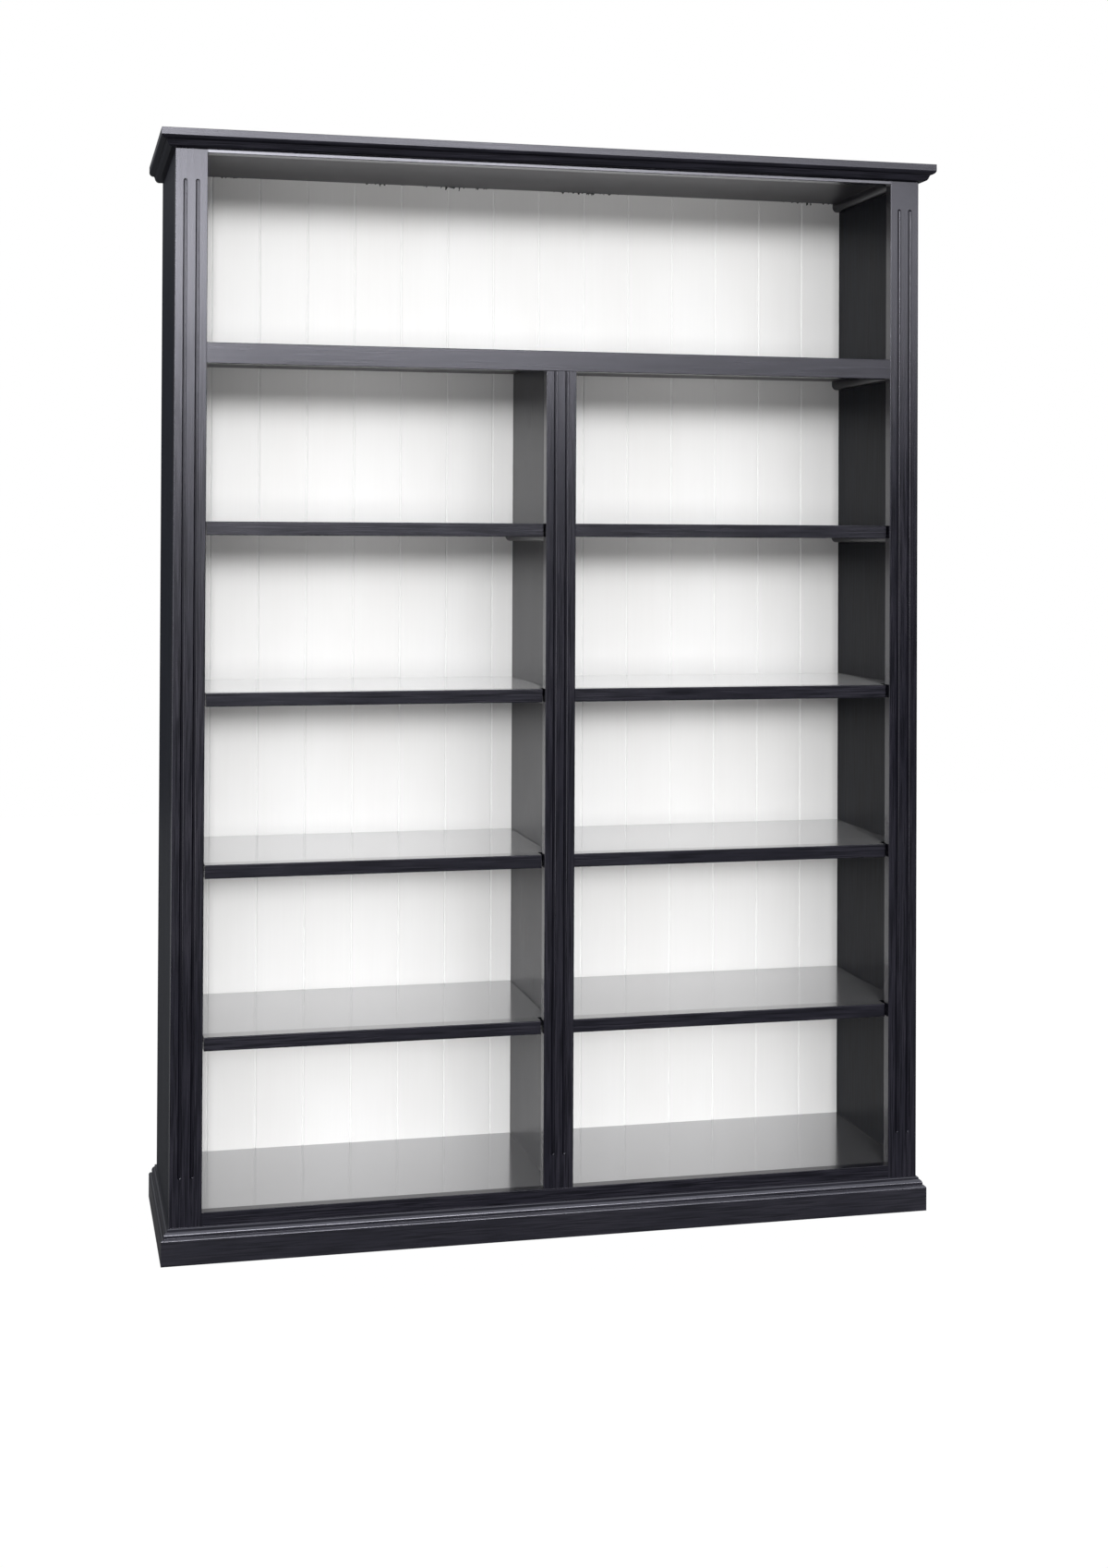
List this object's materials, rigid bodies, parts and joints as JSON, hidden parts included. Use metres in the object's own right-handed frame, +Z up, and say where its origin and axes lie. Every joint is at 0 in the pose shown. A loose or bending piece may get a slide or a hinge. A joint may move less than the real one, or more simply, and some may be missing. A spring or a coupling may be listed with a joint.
{
  "type": "bookcase",
  "caption": "Free-standing painted timber bookcase: fluted face frame, moulded cornice and plinth, wide upper compartment above two bays of lift-out shelves, boarded back.",
  "frame": {"origin": "on the floor, at the middle of the outline in plan", "axes": "+X to the right seen from the front, +Y from the open front to the boarded back, +Z up"},
  "size_m": [1.555, 0.4276, 2.12],
  "materials": {
    "black_paint": "black satin paint over open-grained timber",
    "white_paint": "white satin paint on boards"
  },
  "bodies": {
    "case": {"back_board_01": "white_paint", "back_board_02": "white_paint", "back_board_03": "white_paint", "back_board_04": "white_paint", "back_board_05": "white_paint", "back_board_06": "white_paint", "back_board_07": "white_paint", "back_board_08": "white_paint", "back_board_09": "white_paint", "back_board_10": "white_paint", "back_board_11": "white_paint", "back_board_12": "white_paint", "back_board_13": "white_paint", "back_board_14": "white_paint", "back_board_15": "white_paint", "bottom_panel": "black_paint", "bottom_panel_cleats": "black_paint", "bottom_rail": "black_paint", "centre_divider": "black_paint", "centre_stile": "black_paint", "cornice_front": "black_paint", "cornice_left_return": "black_paint", "cornice_right_return": "black_paint", "left_bay_cleats": "black_paint", "left_side_panel": "black_paint", "left_stile": "black_paint", "middle_rail": "black_paint", "middle_shelf": "black_paint", "middle_shelf_cleats": "black_paint", "plinth_centre_bearer": "black_paint", "plinth_front": "black_paint", "plinth_left_return": "black_paint", "plinth_rear_rail": "black_paint", "plinth_right_return": "black_paint", "right_bay_cleats": "black_paint", "right_side_panel": "black_paint", "right_stile": "black_paint", "top_panel": "black_paint", "top_panel_cleats": "black_paint", "top_rail": "black_paint"},
    "left_shelf_1": {"left_shelf_1_board": "black_paint", "left_shelf_1_lipping": "black_paint"},
    "left_shelf_2": {"left_shelf_2_board": "black_paint", "left_shelf_2_lipping": "black_paint"},
    "left_shelf_3": {"left_shelf_3_board": "black_paint", "left_shelf_3_lipping": "black_paint"},
    "left_shelf_4": {"left_shelf_4_board": "black_paint", "left_shelf_4_lipping": "black_paint"},
    "right_shelf_1": {"right_shelf_1_board": "black_paint", "right_shelf_1_lipping": "black_paint"},
    "right_shelf_2": {"right_shelf_2_board": "black_paint", "right_shelf_2_lipping": "black_paint"},
    "right_shelf_3": {"right_shelf_3_board": "black_paint", "right_shelf_3_lipping": "black_paint"},
    "right_shelf_4": {"right_shelf_4_board": "black_paint", "right_shelf_4_lipping": "black_paint"}
  },
  "joints": [
    {"name": "left_shelf_1_lift", "type": "slide", "parent": "case", "child": "left_shelf_1", "axis": [0, 0, 1], "range_m": [0, 0.28]},
    {"name": "left_shelf_2_lift", "type": "slide", "parent": "case", "child": "left_shelf_2", "axis": [0, 0, 1], "range_m": [0, 0.28]},
    {"name": "left_shelf_3_lift", "type": "slide", "parent": "case", "child": "left_shelf_3", "axis": [0, 0, 1], "range_m": [0, 0.28]},
    {"name": "left_shelf_4_lift", "type": "slide", "parent": "case", "child": "left_shelf_4", "axis": [0, 0, 1], "range_m": [0, 0.28]},
    {"name": "right_shelf_1_lift", "type": "slide", "parent": "case", "child": "right_shelf_1", "axis": [0, 0, 1], "range_m": [0, 0.28]},
    {"name": "right_shelf_2_lift", "type": "slide", "parent": "case", "child": "right_shelf_2", "axis": [0, 0, 1], "range_m": [0, 0.28]},
    {"name": "right_shelf_3_lift", "type": "slide", "parent": "case", "child": "right_shelf_3", "axis": [0, 0, 1], "range_m": [0, 0.28]},
    {"name": "right_shelf_4_lift", "type": "slide", "parent": "case", "child": "right_shelf_4", "axis": [0, 0, 1], "range_m": [0, 0.28]}
  ]
}
